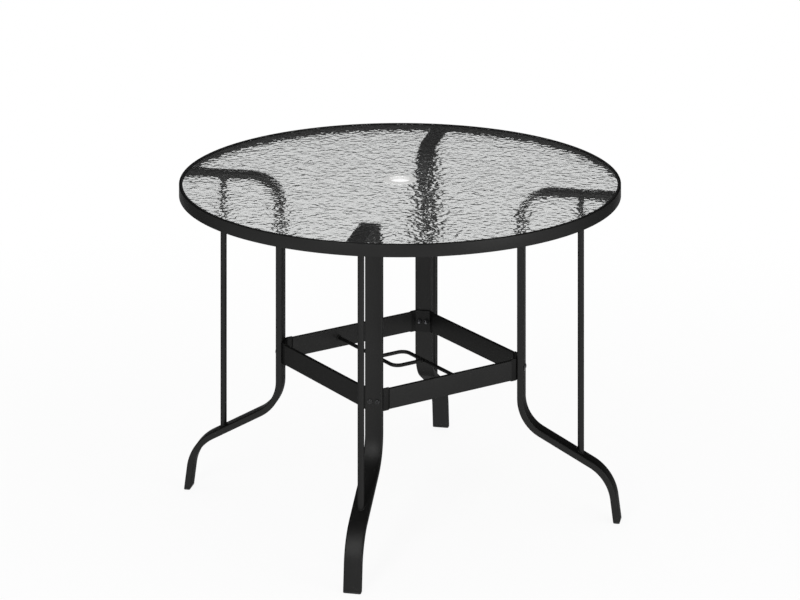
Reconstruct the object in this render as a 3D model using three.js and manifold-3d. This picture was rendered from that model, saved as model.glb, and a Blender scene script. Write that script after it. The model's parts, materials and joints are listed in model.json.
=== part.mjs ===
// Round patio table: a textured glass top in a steel rim, on four bent tube legs,
// with a hole in the glass and a square wire guide below it for an umbrella pole.
// Millimetres, +Z up. The origin is on the floor under the middle of the table.

import * as THREE from 'three';
import { mergeVertices } from 'three/addons/utils/BufferGeometryUtils.js';
import Module from 'manifold-3d';

// Overall size
const TABLE_DIAMETER = 965;
const TABLE_HEIGHT = 710;

// Clearances
const SEAT_GAP = 0.3; // between faces that rest on each other
const HOLE_FIT = 0.3; // between a fastener's side and its hole
const TONGUE_FIT = 0.35; // between a bracket tongue and the inside of its tube
const CUT_OVERRUN = 1; // how far a cutting tool runs past the face that it cuts

// Rim, a strip of steel on edge rolled into a hoop
const RIM_HEIGHT = 26;
const RIM_WALL = 3;
const RIM_EDGE_ROUND = 1.2;

// Glass pane and the rubber channel on its edge
const GLASS_THICKNESS = 5;
const GLASS_CHAMFER = 0.8;
const GASKET_RECESS = 0.2; // lip below the rim's top edge
const GASKET_LIP = 0.8;
const GASKET_WALL = 1.4;
const GASKET_REACH = 5.5; // how far the lips cover the glass

// Umbrella ring, a flanged plastic sleeve in the middle of the pane
const RING_BORE = 47;
const RING_WALL = 1.8;
const RING_FLANGE_DIAMETER = 74;
const RING_FLANGE_EDGE = 0.6;
const RING_CROWN_HEIGHT = 1.5;
const RING_CROWN_WIDTH = 5; // flat top of the flange, from the bore outwards
const RING_BORE_ROUND = 0.8;
const RING_SLEEVE_DEPTH = 5.3; // ends level with the underside of the glass
const RING_FIT = 0.7; // between the sleeve and the hole in the glass

// Leg, one flat tube bent four ways: arm, upright, slope and foot
const LEG_WIDTH = 37.4;
const LEG_DEPTH = 14.1;
const LEG_WALL = 1.5;
const LEG_CORNER = 2.6;
const LEG_INSET = 213.5; // upright's centre line in from the table's edge
const FOOT_INSET = 4; // foot's centre line on the floor in from the table's edge
const ARM_BEND = 65;
const KNEE_BEND = 82;
const ANKLE_BEND = 94;
const SLOPE_ANGLE = THREE.MathUtils.degToRad(62); // from straight down
const FOOT_ANGLE = THREE.MathUtils.degToRad(7.5);
const FOOT_STRAIGHT = 52; // below the ankle bend

// Foot cap, a plastic plug in the tube's end
const FOOT_CAP_HEIGHT = 5;
const FOOT_CAP_ROUND = 1.8;
const FOOT_PLUG_DEPTH = 20;
const FOOT_PLUG_FIT = 0.4;

// Strut, a round tube between the slope and the arm
const STRUT_INSET = 83.5; // in from the table's edge
const STRUT_DIAMETER = 13.8;
const STRUT_WALL = 1.2;

// Stretcher, a flat tube between two corner brackets
const STRETCHER_HEIGHT = 43.4;
const STRETCHER_DEPTH = 7.7;
const STRETCHER_WALL = 1.5;
const STRETCHER_CORNER = 1.6;
const STRETCHER_OUTSET = 7.7; // its plane crosses the diagonal this far outside the upright

// Corner bracket, a bent plate behind the upright with a tongue in each stretcher
const JOINT_HEIGHT = 317.5; // middle of the brackets, bolts, stretchers and pole guide
const BRACKET_HEIGHT = 47.5;
const BRACKET_BEND = 6;
const WING_LENGTH = 13.8; // bare wing between the bend and the stretcher's end
const TONGUE_LENGTH = 22;

// Bolts through the leg and cap nuts behind the bracket
const BOLT_DIAMETER = 6;
const BOLT_SPACING = 16;
const BOLT_HEAD_DIAMETER = 11;
const BOLT_HEAD_HEIGHT = 2.1;
const BOLT_BRIM_SHARE = 1 / 3; // of the head's height that is a straight brim
const BOLT_SHOULDER_SHARE = 0.8; // of the head's height at its rounded shoulder
const BOLT_TAPER_SHARE = 0.85; // of the head's diameter left at that shoulder
const BOLT_REACH = 6; // shank inside the nut
const NUT_FLATS = 10;
const NUT_HEX_HEIGHT = 5;
const NUT_DOME_HEIGHT = 4.6;
const NUT_BORE_SPARE = 1; // bore beyond the bolt's end

// Tab inside the rim and the screw that holds the arm down on it
const TAB_WIDTH = 26;
const TAB_LENGTH = 32;
const TAB_THICKNESS = 2;
const SCREW_DIAMETER = 5;
const SCREW_HEAD_DIAMETER = 9;
const SCREW_HEAD_HEIGHT = 2.4;
const SCREW_SETBACK = 16; // in from the tab's outer edge
const SCREW_REACH = 4; // shank inside the arm

// Umbrella pole guide, two bent rods that close a square
const GUIDE_ROD_DIAMETER = 8;
const GUIDE_OPENING = 66;
const GUIDE_BEND = 18;

// Facets
const HOOP_SIDES = 80; // one flat faces each arm
const RING_SIDES = 40;
const TUBE_SIDES = 20;
const ROD_SIDES = 12;
const CORNER_STEPS = 2;
const BEND_STEPS = 8;
const ROUND_STEPS = 3;
const DOME_STEPS = 3;
const ELBOW_STEPS = 6; // a leg's knee and ankle

// Heights and radii worked out from the sizes above
const RIM_RADIUS = TABLE_DIAMETER / 2;
const RIM_BORE_RADIUS = RIM_RADIUS - RIM_WALL;
const HOOP_FLAT_SHARE = Math.cos(Math.PI / HOOP_SIDES); // of a radius, at the middle of a flat
const GASKET_RADIUS = RIM_BORE_RADIUS - SEAT_GAP;
const GLASS_RADIUS = GASKET_RADIUS - GASKET_WALL - SEAT_GAP;
const GASKET_GROOVE_RADIUS = GLASS_RADIUS + SEAT_GAP;
const GASKET_LIP_RADIUS = GASKET_GROOVE_RADIUS - GASKET_REACH;
const GASKET_TOP = TABLE_HEIGHT - GASKET_RECESS;
const GLASS_TOP = GASKET_TOP - GASKET_LIP - SEAT_GAP;
const GLASS_BASE = GLASS_TOP - GLASS_THICKNESS;
const GASKET_BASE = GLASS_BASE - SEAT_GAP - GASKET_LIP;
const RING_HOLE_RADIUS = RING_BORE / 2 + RING_WALL + RING_FIT;
const ARM_TOP = GASKET_BASE - SEAT_GAP;
const ARM_HEIGHT = ARM_TOP - LEG_DEPTH / 2;
const ARM_BASE = ARM_TOP - LEG_DEPTH;
const ARM_END = RIM_BORE_RADIUS * HOOP_FLAT_SHARE - SEAT_GAP;
const LEG_RADIUS = RIM_RADIUS - LEG_INSET;
const FOOT_RADIUS = RIM_RADIUS - FOOT_INSET;
const STRUT_RADIUS = RIM_RADIUS - STRUT_INSET;
const BRACKET_PLATE = STRETCHER_DEPTH - 2 * STRETCHER_WALL - 2 * TONGUE_FIT;
const TONGUE_HEIGHT = STRETCHER_HEIGHT - 2 * STRETCHER_WALL - 2 * TONGUE_FIT;
const BRACKET_RADIUS = LEG_RADIUS - LEG_DEPTH / 2 - SEAT_GAP - BRACKET_PLATE / 2;
const STRETCHER_CROSSING = LEG_RADIUS + STRETCHER_OUTSET;
const STRETCHER_PLANE = STRETCHER_CROSSING * Math.SQRT1_2; // distance from the table's axis
const BRACKET_HALF = STRETCHER_CROSSING - BRACKET_RADIUS; // from the middle to the bend's corner
const STRETCHER_END = STRETCHER_PLANE - BRACKET_HALF * Math.SQRT2 - WING_LENGTH;
const TAB_TOP = ARM_BASE - SEAT_GAP;
const TAB_BASE = TAB_TOP - TAB_THICKNESS;
const SCREW_RADIUS = ARM_END - SCREW_SETBACK;
const GUIDE_HALF = (GUIDE_OPENING + GUIDE_ROD_DIAMETER) / 2;

// Where the corners stand, as turns about the table's axis
const CORNERS = [
  { name: 'front_right', turn: -Math.PI / 4 },
  { name: 'back_right', turn: Math.PI / 4 },
  { name: 'back_left', turn: 3 * Math.PI / 4 },
  { name: 'front_left', turn: -3 * Math.PI / 4 },
];
const SIDES = [
  { name: 'front', turn: 0 },
  { name: 'right', turn: Math.PI / 2 },
  { name: 'back', turn: Math.PI },
  { name: 'left', turn: -Math.PI / 2 },
];

const wasm = await Module();
wasm.setup();

// Materials, one for each mesh
const FINISHES = {
  steel: { color: 0x232323, roughness: 0.5, metalness: 0.35 },
  bolt: { color: 0x1c1c1c, roughness: 0.4, metalness: 0.6 },
  glass: { color: 0xc9cfce, roughness: 0.12, metalness: 0, transparent: true, opacity: 0.45 },
  rubber: { color: 0x141414, roughness: 0.85, metalness: 0 },
  blackPlastic: { color: 0x1a1a1a, roughness: 0.6, metalness: 0 },
  whitePlastic: { color: 0xefeeea, roughness: 0.35, metalness: 0 },
};

function namedMesh(name, geometry, finish) {
  const mesh = new THREE.Mesh(geometry, new THREE.MeshStandardMaterial(FINISHES[finish]));
  mesh.name = name;
  return mesh;
}

// Closed geometry with shared points and its faces turned outwards
function closed(geometry) {
  geometry.deleteAttribute('normal');
  geometry.deleteAttribute('uv');
  const merged = mergeVertices(geometry);
  const place = merged.attributes.position;
  const index = merged.index.array;
  const [a, b, c] = [new THREE.Vector3(), new THREE.Vector3(), new THREE.Vector3()];
  let volume = 0;
  for (let i = 0; i < index.length; i += 3) {
    a.fromBufferAttribute(place, index[i]);
    b.fromBufferAttribute(place, index[i + 1]);
    c.fromBufferAttribute(place, index[i + 2]);
    volume += a.dot(b.cross(c));
  }
  if (volume < 0) {
    index.reverse();
  }
  merged.computeVertexNormals();
  return merged;
}

function toSolid(geometry) {
  const vertProperties = new Float32Array(geometry.attributes.position.array);
  const triVerts = new Uint32Array(geometry.index.array);
  return new wasm.Manifold(new wasm.Mesh({ numProp: 3, vertProperties, triVerts }));
}

function fromSolid(solid) {
  const { vertProperties, triVerts } = solid.getMesh();
  const geometry = new THREE.BufferGeometry();
  geometry.setAttribute('position', new THREE.BufferAttribute(vertProperties, 3));
  geometry.setIndex(new THREE.BufferAttribute(triVerts, 1));
  return closed(geometry);
}

function cutBy(geometry, tools) {
  const solid = tools.reduce((rest, tool) => rest.subtract(toSolid(tool)), toSolid(geometry));
  return fromSolid(solid);
}

// Profile of [radius, height] points turned about the table's axis.
// A flat is centred on each axis, and with a multiple of eight sides one also faces every corner.
function turned(profile, sides) {
  const points = [...profile, profile[0]].map(([radius, height]) => new THREE.Vector2(radius, height));
  const geometry = new THREE.LatheGeometry(points, sides, Math.PI / sides, 2 * Math.PI);
  geometry.rotateX(Math.PI / 2);
  return closed(geometry);
}

// Quarter arc of [x, y] points about a centre, from one angle to another
function arcPoints(x, y, radius, from, to, steps) {
  return Array.from({ length: steps + 1 }, (_, i) => {
    const angle = from + (to - from) * i / steps;
    return [x + radius * Math.cos(angle), y + radius * Math.sin(angle)];
  });
}

// Outlines for tube sections, anticlockwise
function roundedRectangle(depth, width, corner) {
  const x = depth / 2 - corner;
  const y = width / 2 - corner;
  const corners = [[x, y], [-x, y], [-x, -y], [x, -y]];
  const quarter = Math.PI / 2;
  return corners
    .flatMap(([cx, cy], i) => arcPoints(cx, cy, corner, i * quarter, (i + 1) * quarter, CORNER_STEPS))
    .map(([px, py]) => new THREE.Vector2(px, py));
}

function rectangle(depth, width) {
  const x = depth / 2;
  const y = width / 2;
  return [[x, y], [-x, y], [-x, -y], [x, -y]].map(([px, py]) => new THREE.Vector2(px, py));
}

function circle(diameter, sides) {
  return arcPoints(0, 0, diameter / 2, 0, 2 * Math.PI, sides)
    .slice(0, sides)
    .map(([px, py]) => new THREE.Vector2(px, py));
}

// Hexagon with a point in the middle of each side, so that it matches a 12-sided circle
function hexagon(flats) {
  return Array.from({ length: ROD_SIDES }, (_, i) => {
    const angle = 2 * Math.PI * i / ROD_SIDES;
    const reach = i % 2 ? flats / 2 : flats / 2 / Math.cos(Math.PI / 6);
    return new THREE.Vector2(reach * Math.cos(angle), reach * Math.sin(angle));
  });
}

// Faces that close a ring of points, with a hole ring where there is one
function capFaces(ring, hole) {
  const normal = new THREE.Vector3();
  ring.forEach((point, i) => normal.add(point.clone().cross(ring[(i + 1) % ring.length])));
  const x = ring[1].clone().sub(ring[0]).normalize();
  const y = normal.normalize().clone().cross(x);
  const flat = (points) => points.map((point) => new THREE.Vector2(point.dot(x), point.dot(y)));
  return THREE.ShapeUtils.triangulateShape(flat(ring), hole ? [flat(hole)] : []);
}

// Skin through a row of rings that have the same number of points, closed at both ends.
// Rows of inner rings, where given, leave a bore that is open at both ends.
function skin(outer, inner) {
  const points = [];
  const faces = [];
  const starts = [outer, inner].filter(Boolean).map((rings, layer) => {
    const start = points.length;
    const count = rings[0].length;
    points.push(...rings.flat());
    for (let row = 0; row + 1 < rings.length; row++) {
      for (let i = 0; i < count; i++) {
        const a = start + row * count + i;
        const b = start + row * count + (i + 1) % count;
        const quad = [a, b, b + count, a, b + count, a + count];
        faces.push(...(layer === 0 ? quad : quad.reverse()));
      }
    }
    return start;
  });
  for (const row of [0, outer.length - 1]) {
    const ring = outer[row];
    const hole = inner?.[row];
    const number = (i) => (i < ring.length
      ? starts[0] + row * ring.length + i
      : starts[1] + row * hole.length + i - ring.length);
    for (const face of capFaces(ring, hole)) {
      const corners = face.map(number);
      faces.push(...(row === 0 ? corners.reverse() : corners));
    }
  }
  const geometry = new THREE.BufferGeometry().setFromPoints(points);
  geometry.setIndex(faces);
  return closed(geometry);
}

// Round bar along +X from a start, as [distance, diameter or section] steps
function spindle(steps) {
  return skin(steps.map(([x, section]) => section.map((p) => new THREE.Vector3(x, p.x, p.y))));
}

// Upright drill for cutting a round hole, from one height to another
function uprightDrill(radius, diameter, base, top) {
  const section = circle(diameter, ROD_SIDES);
  return skin([base, top].map((z) => section.map((p) => new THREE.Vector3(radius + p.x, p.y, z))));
}

// Centre line of a leg in its own upright plane, x outwards from the table's axis.
// Each station holds the direction of travel, as an angle from straight down.
function legStations() {
  const stations = [];
  let x = ARM_END;
  let z = ARM_HEIGHT;
  let angle = -Math.PI / 2;
  const stop = () => stations.push({ x, z, angle });
  const straight = (length) => {
    x += length * Math.sin(angle);
    z -= length * Math.cos(angle);
    stop();
  };
  const bend = (radius, to, steps) => {
    const turn = (to - angle) / steps;
    for (let i = 0; i < steps; i++) {
      const sense = Math.sign(turn);
      x += sense * radius * (Math.cos(angle) - Math.cos(angle + turn));
      z -= sense * radius * (Math.sin(angle + turn) - Math.sin(angle));
      angle += turn;
      stop();
    }
  };
  const kneeReach = KNEE_BEND * (1 - Math.cos(SLOPE_ANGLE));
  const kneeDrop = KNEE_BEND * Math.sin(SLOPE_ANGLE);
  const ankleReach = ANKLE_BEND * (Math.cos(FOOT_ANGLE) - Math.cos(SLOPE_ANGLE));
  const ankleDrop = ANKLE_BEND * (Math.sin(SLOPE_ANGLE) - Math.sin(FOOT_ANGLE));
  const footReach = FOOT_STRAIGHT * Math.sin(FOOT_ANGLE);
  const footDrop = FOOT_STRAIGHT * Math.cos(FOOT_ANGLE);
  const slopeReach = FOOT_RADIUS - LEG_RADIUS - kneeReach - ankleReach - footReach;
  const slope = slopeReach / Math.sin(SLOPE_ANGLE);
  const kneeTop = kneeDrop + slope * Math.cos(SLOPE_ANGLE) + ankleDrop + footDrop;

  stop();
  straight(ARM_END - LEG_RADIUS - ARM_BEND);
  bend(ARM_BEND, 0, BEND_STEPS);
  straight(z - kneeTop);
  bend(KNEE_BEND, SLOPE_ANGLE, ELBOW_STEPS);
  straight(slope);
  bend(ANKLE_BEND, FOOT_ANGLE, ELBOW_STEPS);
  straight(FOOT_STRAIGHT - FOOT_CAP_HEIGHT / Math.cos(FOOT_ANGLE));
  return stations;
}

const LEG_STATIONS = legStations();
const SLOPE_START = LEG_STATIONS.find(({ angle }) => Math.abs(angle - SLOPE_ANGLE) < Number.EPSILON * 8);

// Ring of a section at a station, square to the tube
function squareRing({ x, z, angle }, section) {
  return section.map((p) => new THREE.Vector3(x + p.x * Math.cos(angle), p.y, z + p.x * Math.sin(angle)));
}

// Ring of a section cut level with the floor, where the foot passes that height
function levelRing(height, section) {
  const x = FOOT_RADIUS - height * Math.tan(FOOT_ANGLE);
  return section.map((p) => new THREE.Vector3(x + p.x / Math.cos(FOOT_ANGLE), p.y, height));
}

// Height of the slope's upper face, and how high a piece that seats on it starts
function slopeSeat(x) {
  const lift = LEG_DEPTH / 2 + SEAT_GAP;
  return SLOPE_START.z + (lift - (x - SLOPE_START.x) * Math.cos(SLOPE_ANGLE)) / Math.sin(SLOPE_ANGLE);
}

function boltHoles(from, to) {
  const section = circle(BOLT_DIAMETER + 2 * HOLE_FIT, ROD_SIDES);
  return [-BOLT_SPACING / 2, BOLT_SPACING / 2].map((y) => {
    const drill = spindle([[from - CUT_OVERRUN, section], [to + CUT_OVERRUN, section]]);
    return drill.translate(0, y, JOINT_HEIGHT);
  });
}

function legGeometry() {
  const outer = roundedRectangle(LEG_DEPTH, LEG_WIDTH, LEG_CORNER);
  const bore = rectangle(LEG_DEPTH - 2 * LEG_WALL, LEG_WIDTH - 2 * LEG_WALL);
  const rings = (section) => {
    const row = LEG_STATIONS.slice(0, -1).map((station) => squareRing(station, section));
    return [...row, levelRing(FOOT_CAP_HEIGHT, section)];
  };
  const tube = skin(rings(outer), rings(bore));
  const screwHole = SCREW_DIAMETER + 2 * HOLE_FIT;
  const screwDrill = uprightDrill(SCREW_RADIUS, screwHole, ARM_BASE - CUT_OVERRUN, ARM_HEIGHT);
  const holes = boltHoles(LEG_RADIUS - LEG_DEPTH / 2, LEG_RADIUS + LEG_DEPTH / 2);
  return cutBy(tube, [...holes, screwDrill]);
}

function footCapGeometry() {
  const plugDepth = LEG_DEPTH - 2 * LEG_WALL - 2 * FOOT_PLUG_FIT;
  const plugWidth = LEG_WIDTH - 2 * LEG_WALL - 2 * FOOT_PLUG_FIT;
  const plugCorner = LEG_CORNER - LEG_WALL;
  const plug = roundedRectangle(plugDepth, plugWidth, plugCorner);
  const tip = roundedRectangle(plugDepth - FOOT_CAP_ROUND, plugWidth - FOOT_CAP_ROUND, plugCorner);
  const cap = roundedRectangle(LEG_DEPTH, LEG_WIDTH, LEG_CORNER);
  const sole = roundedRectangle(LEG_DEPTH - 2 * FOOT_CAP_ROUND, LEG_WIDTH - 2 * FOOT_CAP_ROUND, LEG_CORNER);
  const shoulder = FOOT_CAP_HEIGHT - SEAT_GAP;
  const plugTop = FOOT_CAP_HEIGHT + FOOT_PLUG_DEPTH;
  return skin([
    levelRing(plugTop, tip),
    levelRing(plugTop - FOOT_CAP_ROUND, plug),
    levelRing(shoulder, plug),
    levelRing(shoulder, cap),
    levelRing(FOOT_CAP_ROUND, cap),
    levelRing(0, sole),
  ]);
}

// The strut is cut square at the arm and to the slope's angle at its lower end
function strutGeometry() {
  const rings = (diameter) => {
    const section = circle(diameter, TUBE_SIDES);
    const x = (p) => STRUT_RADIUS + p.x;
    return [
      section.map((p) => new THREE.Vector3(x(p), p.y, slopeSeat(x(p)))),
      section.map((p) => new THREE.Vector3(x(p), p.y, ARM_BASE - SEAT_GAP)),
    ];
  };
  return skin(rings(STRUT_DIAMETER), rings(STRUT_DIAMETER - 2 * STRUT_WALL));
}

// Plan of the bracket's bent strip, with wings of a given length past each bend
function bracketPlan(wing) {
  const tangent = BRACKET_BEND * Math.tan(Math.PI / 8);
  const half = (side) => {
    const centreX = BRACKET_RADIUS - BRACKET_BEND;
    const centreY = BRACKET_HALF - tangent;
    const arc = (radius) => arcPoints(centreX, centreY, radius, 0, Math.PI / 4, CORNER_STEPS);
    const run = (wing - tangent) * Math.SQRT1_2;
    const ended = (points) => {
      const [x, y] = points.at(-1);
      return [...points, [x - run, y + run]].map(([px, py]) => new THREE.Vector2(px, side * py));
    };
    return {
      outside: ended(arc(BRACKET_BEND + BRACKET_PLATE / 2)),
      inside: ended(arc(BRACKET_BEND - BRACKET_PLATE / 2)),
    };
  };
  const left = half(-1);
  const right = half(1);
  return new THREE.Shape([
    ...left.outside.reverse(),
    ...right.outside,
    ...right.inside.reverse(),
    ...left.inside,
  ]);
}

function bracketGeometry() {
  const strip = (wing, height) => {
    const plate = new THREE.ExtrudeGeometry(bracketPlan(wing), { depth: height, bevelEnabled: false });
    return closed(plate.translate(0, 0, JOINT_HEIGHT - height / 2));
  };
  const wings = toSolid(strip(WING_LENGTH, BRACKET_HEIGHT));
  const tongues = toSolid(strip(WING_LENGTH + TONGUE_LENGTH, TONGUE_HEIGHT));
  const blank = fromSolid(wings.add(tongues));
  return cutBy(blank, boltHoles(BRACKET_RADIUS - BRACKET_PLATE / 2, BRACKET_RADIUS + BRACKET_PLATE / 2));
}

// Bolt with a low domed head outside the leg, its shank running towards the table's axis
function boltGeometry() {
  const head = LEG_RADIUS + LEG_DEPTH / 2 + SEAT_GAP;
  const nutSeat = BRACKET_RADIUS - BRACKET_PLATE / 2 - SEAT_GAP;
  const crown = circle(BOLT_HEAD_DIAMETER / 2, ROD_SIDES);
  const shoulder = circle(BOLT_HEAD_DIAMETER * BOLT_TAPER_SHARE, ROD_SIDES);
  const brim = circle(BOLT_HEAD_DIAMETER, ROD_SIDES);
  const shank = circle(BOLT_DIAMETER, ROD_SIDES);
  return spindle([
    [nutSeat - BOLT_REACH, shank],
    [head, shank],
    [head, brim],
    [head + BOLT_HEAD_HEIGHT * BOLT_BRIM_SHARE, brim],
    [head + BOLT_HEAD_HEIGHT * BOLT_SHOULDER_SHARE, shoulder],
    [head + BOLT_HEAD_HEIGHT, crown],
  ]);
}

// Cap nut with a blind bore, domed towards the table's axis
function nutGeometry() {
  const seat = BRACKET_RADIUS - BRACKET_PLATE / 2 - SEAT_GAP;
  const bore = circle(BOLT_DIAMETER + 2 * HOLE_FIT, ROD_SIDES);
  const hex = hexagon(NUT_FLATS);
  const dome = (angle) => [
    seat - NUT_HEX_HEIGHT - NUT_DOME_HEIGHT * Math.sin(angle),
    circle(NUT_FLATS * Math.cos(angle), ROD_SIDES),
  ];
  return spindle([
    [seat - BOLT_REACH - NUT_BORE_SPARE, bore],
    [seat, bore],
    [seat, hex],
    [seat - NUT_HEX_HEIGHT, hex],
    ...Array.from({ length: DOME_STEPS }, (_, i) => dome(i * Math.PI / 2 / DOME_STEPS)),
  ]);
}

function tabGeometry() {
  const outline = rectangle(TAB_LENGTH, TAB_WIDTH);
  const middle = ARM_END - TAB_LENGTH / 2;
  const ring = (z) => outline.map((p) => new THREE.Vector3(middle + p.x, p.y, z));
  const plate = skin([ring(TAB_BASE), ring(TAB_TOP)]);
  const hole = SCREW_DIAMETER + 2 * HOLE_FIT;
  return cutBy(plate, [uprightDrill(SCREW_RADIUS, hole, TAB_BASE - CUT_OVERRUN, TAB_TOP + CUT_OVERRUN)]);
}

function tabScrewGeometry() {
  const seat = TAB_BASE - SEAT_GAP;
  const tip = ARM_BASE + LEG_WALL + SCREW_REACH;
  const rows = [
    [seat - SCREW_HEAD_HEIGHT, SCREW_HEAD_DIAMETER / 2],
    [seat, SCREW_HEAD_DIAMETER],
    [seat, SCREW_DIAMETER],
    [tip, SCREW_DIAMETER],
  ];
  return skin(rows.map(([z, diameter]) => circle(diameter, ROD_SIDES)
    .map((p) => new THREE.Vector3(SCREW_RADIUS + p.x, p.y, z))));
}

// One corner of the frame, modelled along +X and turned to its place
function corner({ name, turn }) {
  const group = new THREE.Group();
  group.rotation.z = turn;
  group.add(namedMesh(`leg_${name}`, legGeometry(), 'steel'));
  group.add(namedMesh(`foot_cap_${name}`, footCapGeometry(), 'blackPlastic'));
  group.add(namedMesh(`strut_${name}`, strutGeometry(), 'steel'));
  group.add(namedMesh(`corner_bracket_${name}`, bracketGeometry(), 'steel'));
  group.add(namedMesh(`rim_tab_${name}`, tabGeometry(), 'steel'));
  group.add(namedMesh(`tab_screw_${name}`, tabScrewGeometry(), 'bolt'));
  [-1, 1].forEach((side, i) => {
    const bolt = namedMesh(`leg_bolt_${name}_${i + 1}`, boltGeometry(), 'bolt');
    const nut = namedMesh(`cap_nut_${name}_${i + 1}`, nutGeometry(), 'bolt');
    for (const piece of [bolt, nut]) {
      piece.position.set(0, side * BOLT_SPACING / 2, JOINT_HEIGHT);
      group.add(piece);
    }
  });
  return group;
}

// Stretcher, modelled on the front side and turned to its place
function stretcher({ name, turn }) {
  const outer = roundedRectangle(STRETCHER_DEPTH, STRETCHER_HEIGHT, STRETCHER_CORNER);
  const bore = rectangle(STRETCHER_DEPTH - 2 * STRETCHER_WALL, STRETCHER_HEIGHT - 2 * STRETCHER_WALL);
  const rings = (section) => [-STRETCHER_END, STRETCHER_END].map((x) => section
    .map((p) => new THREE.Vector3(x, p.x - STRETCHER_PLANE, JOINT_HEIGHT + p.y)));
  const mesh = namedMesh(`stretcher_${name}`, skin(rings(outer), rings(bore)), 'steel');
  mesh.rotation.z = turn;
  return mesh;
}

// Guide rod: out from the back stretcher, past the pole and round one corner of the square
function guideRod({ name, turn }) {
  const section = circle(GUIDE_ROD_DIAMETER, ROD_SIDES);
  const start = STRETCHER_PLANE - STRETCHER_DEPTH / 2 - SEAT_GAP;
  const bendStart = GUIDE_BEND - GUIDE_HALF;
  const arc = arcPoints(bendStart, bendStart, GUIDE_BEND, Math.PI, 3 * Math.PI / 2, BEND_STEPS);
  const end = GUIDE_HALF - GUIDE_ROD_DIAMETER / 2 - SEAT_GAP;
  const bends = arc.map(([x, y], i) => ({ x, y, angle: Math.PI / 2 * i / BEND_STEPS }));
  const stations = [
    { x: -GUIDE_HALF, y: start, angle: 0 },
    ...bends,
    { x: end, y: -GUIDE_HALF, angle: Math.PI / 2 },
  ];
  const rings = stations.map(({ x, y, angle }) => section.map((p) => new THREE.Vector3(
    x + p.x * Math.cos(angle),
    y + p.x * Math.sin(angle),
    JOINT_HEIGHT + p.y,
  )));
  const mesh = namedMesh(`guide_rod_${name}`, skin(rings), 'steel');
  mesh.rotation.z = turn;
  return mesh;
}

function rimGeometry() {
  const base = TABLE_HEIGHT - RIM_HEIGHT;
  const shoulder = TABLE_HEIGHT - RIM_EDGE_ROUND;
  const quarter = Math.PI / 2;
  return turned([
    [RIM_BORE_RADIUS, base],
    [RIM_RADIUS, base],
    ...arcPoints(RIM_RADIUS - RIM_EDGE_ROUND, shoulder, RIM_EDGE_ROUND, 0, quarter, CORNER_STEPS),
    ...arcPoints(RIM_BORE_RADIUS + RIM_EDGE_ROUND, shoulder, RIM_EDGE_ROUND, quarter, Math.PI, CORNER_STEPS),
  ], HOOP_SIDES);
}

function gasketGeometry() {
  return turned([
    [GASKET_LIP_RADIUS, GASKET_BASE],
    [GASKET_RADIUS, GASKET_BASE],
    [GASKET_RADIUS, GASKET_TOP],
    [GASKET_LIP_RADIUS, GASKET_TOP],
    [GASKET_LIP_RADIUS, GASKET_TOP - GASKET_LIP],
    [GASKET_GROOVE_RADIUS, GASKET_TOP - GASKET_LIP],
    [GASKET_GROOVE_RADIUS, GASKET_BASE + GASKET_LIP],
    [GASKET_LIP_RADIUS, GASKET_BASE + GASKET_LIP],
  ], HOOP_SIDES);
}

// The pane's upper face is split where the ring and the rubber lip cover it
function glassGeometry() {
  return turned([
    [RING_HOLE_RADIUS, GLASS_BASE],
    [GLASS_RADIUS - GLASS_CHAMFER, GLASS_BASE],
    [GLASS_RADIUS, GLASS_BASE + GLASS_CHAMFER],
    [GLASS_RADIUS, GLASS_TOP - GLASS_CHAMFER],
    [GLASS_RADIUS - GLASS_CHAMFER, GLASS_TOP],
    [GASKET_LIP_RADIUS - SEAT_GAP, GLASS_TOP],
    [RING_FLANGE_DIAMETER / 2 + SEAT_GAP, GLASS_TOP],
    [RING_HOLE_RADIUS, GLASS_TOP],
  ], HOOP_SIDES);
}

function umbrellaRingGeometry() {
  const bore = RING_BORE / 2;
  const sleeve = bore + RING_WALL;
  const seat = GLASS_TOP + SEAT_GAP;
  const base = seat - RING_SLEEVE_DEPTH;
  const flange = RING_FLANGE_DIAMETER / 2;
  const crown = bore + RING_CROWN_WIDTH;
  const rise = RING_CROWN_HEIGHT - RING_FLANGE_EDGE;
  const quarter = Math.PI / 2;
  const brow = arcPoints(0, 0, 1, 0, quarter, ROUND_STEPS)
    .map(([x, y]) => [crown + (flange - crown) * x, seat + RING_FLANGE_EDGE + rise * y]);
  const lead = arcPoints(bore + RING_BORE_ROUND, seat + RING_CROWN_HEIGHT - RING_BORE_ROUND,
    RING_BORE_ROUND, quarter, Math.PI, CORNER_STEPS);
  return turned([
    [bore, base],
    [sleeve, base],
    [sleeve, seat],
    [flange, seat],
    ...brow,
    ...lead,
  ], RING_SIDES);
}

// The whole table
const table = new THREE.Group();
table.add(namedMesh('rim', rimGeometry(), 'steel'));
table.add(namedMesh('glass_gasket', gasketGeometry(), 'rubber'));
table.add(namedMesh('glass_top', glassGeometry(), 'glass'));
table.add(namedMesh('umbrella_ring', umbrellaRingGeometry(), 'whitePlastic'));
CORNERS.forEach((place) => table.add(corner(place)));
SIDES.forEach((place) => table.add(stretcher(place)));
table.add(guideRod({ name: 'back', turn: 0 }));
table.add(guideRod({ name: 'front', turn: Math.PI }));

export default table;
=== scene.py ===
"""Dresses the packed model of a round patio table: rippled glass in a black steel rim,
four bent tube legs with round struts, a stretcher box with a wire pole guide, and a white ring
in the middle of the glass. Metres, +Z up, in the packed model's own frame."""

import json  # noqa: E402
from math import atan, copysign, cos, pi, radians, sin, tan  # noqa: E402

import bmesh  # noqa: E402
import bpy  # noqa: E402
from bpy.props import FloatProperty, FloatVectorProperty, IntProperty, PointerProperty  # noqa: E402
from mathutils import Matrix, Vector  # noqa: E402

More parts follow.
